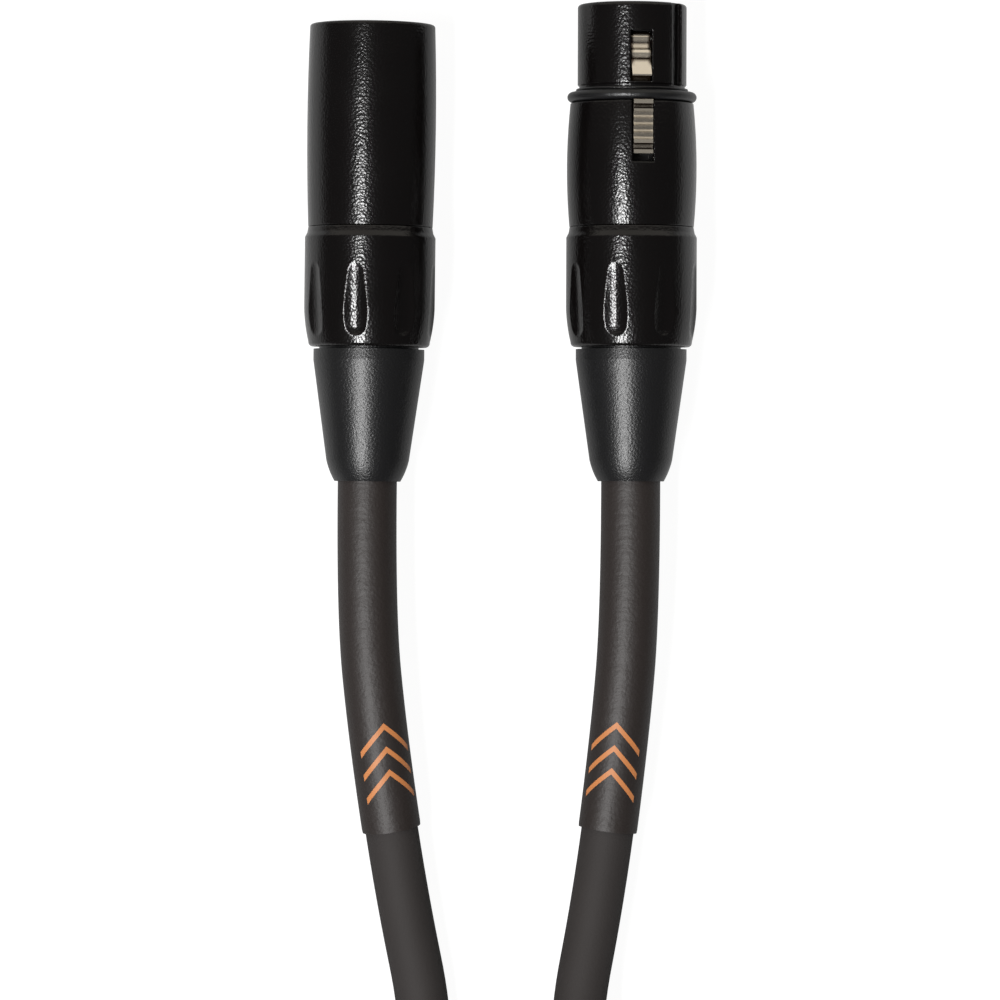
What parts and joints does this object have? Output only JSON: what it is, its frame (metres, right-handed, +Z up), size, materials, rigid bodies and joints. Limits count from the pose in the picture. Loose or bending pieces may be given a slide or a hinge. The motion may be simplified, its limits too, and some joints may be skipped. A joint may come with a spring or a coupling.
{
  "type": "microphone cable",
  "caption": "Microphone cable with a male and a female latching plug, screwed collars, bend boots and marked sleeves, its spare length in a tied hank.",
  "frame": {"origin": "on the surface the plugs lie on, under the middle of the box round both plugs without their cable", "axes": "+X from the male plug to the female plug, +Y along the plugs towards their mating ends, +Z up from the surface"},
  "size_m": [0.0712, 0.3543, 0.0365],
  "materials": {
    "lacquered_shell": "satin black lacquer with a fine grain over cast zinc",
    "insert_plastic": "moulded black plastic",
    "boot_rubber": "matte moulded rubber",
    "gasket_rubber": "satin rubber ring",
    "clamp_plastic": "moulded white acetal",
    "latch_nickel": "nickel plated formed lever",
    "spring_steel": "bright rolled spring steel",
    "contact_gold": "gold plated turned brass",
    "shrink_sleeve": "satin shrunk sleeve with printed chevrons",
    "cable_jacket": "matte extruded jacket",
    "core_plastic": "extruded insulation",
    "tie_fabric": "woven hook-and-loop strap"
  },
  "bodies": {
    "plugs": {"male_shell": "lacquered_shell", "male_insert": "insert_plastic", "male_pin_ground": "contact_gold", "male_pin_hot": "contact_gold", "male_pin_cold": "contact_gold", "male_cable_clamp": "clamp_plastic", "male_cable_end": "cable_jacket", "male_sleeve": "shrink_sleeve", "male_core_ground": "core_plastic", "male_core_hot": "core_plastic", "male_core_cold": "core_plastic", "female_shell": "lacquered_shell", "female_gasket": "gasket_rubber", "female_insert": "insert_plastic", "female_contact_ground": "contact_gold", "female_contact_hot": "contact_gold", "female_contact_cold": "contact_gold", "latch_pin": "spring_steel", "latch_spring": "spring_steel", "female_cable_clamp": "clamp_plastic", "female_cable_end": "cable_jacket", "female_sleeve": "shrink_sleeve", "female_core_ground": "core_plastic", "female_core_hot": "core_plastic", "female_core_cold": "core_plastic", "cable_male_lead": "cable_jacket", "cable_hank": "cable_jacket", "cable_female_lead": "cable_jacket", "hank_tie": "tie_fabric"},
    "latch": {"latch_lever": "latch_nickel"},
    "male_boot": {"male_boot": "boot_rubber"},
    "male_collar": {"male_collar": "lacquered_shell"},
    "female_boot": {"female_boot": "boot_rubber"},
    "female_collar": {"female_collar": "lacquered_shell"}
  },
  "joints": [
    {"name": "latch_press", "type": "hinge", "parent": "plugs", "child": "latch", "pos_m": [0.0203, 0.0298, 0.01553], "axis": [0.9877, -0.0033, -0.1564], "range_deg": [0, 5.5], "stiffness_Nm_per_rad": 0.15, "springref_deg": -4.01},
    {"name": "male_boot_slide", "type": "slide", "parent": "plugs", "child": "male_boot", "axis": [-0.012, -0.9999, 0], "range_m": [0, 0.004]},
    {"name": "male_collar_turn", "type": "hinge", "parent": "male_boot", "child": "male_collar", "pos_m": [-0.01922, -0.0069, 0.0096], "axis": [-0.012, -0.9999, 0], "range_deg": [0, 1441]},
    {"name": "female_boot_slide", "type": "slide", "parent": "plugs", "child": "female_boot", "axis": [-0.0033, -1, 0], "range_m": [0, 0.004]},
    {"name": "female_collar_turn", "type": "hinge", "parent": "female_boot", "child": "female_collar", "pos_m": [0.01924, -0.0069, 0.0096], "axis": [-0.0033, -1, 0], "range_deg": [0, 1441]}
  ],
  "couplings": [
    {"joint": "male_collar_turn", "follows": "male_boot_slide", "rad_per_m": 6283.2},
    {"joint": "female_collar_turn", "follows": "female_boot_slide", "rad_per_m": 6283.2}
  ]
}
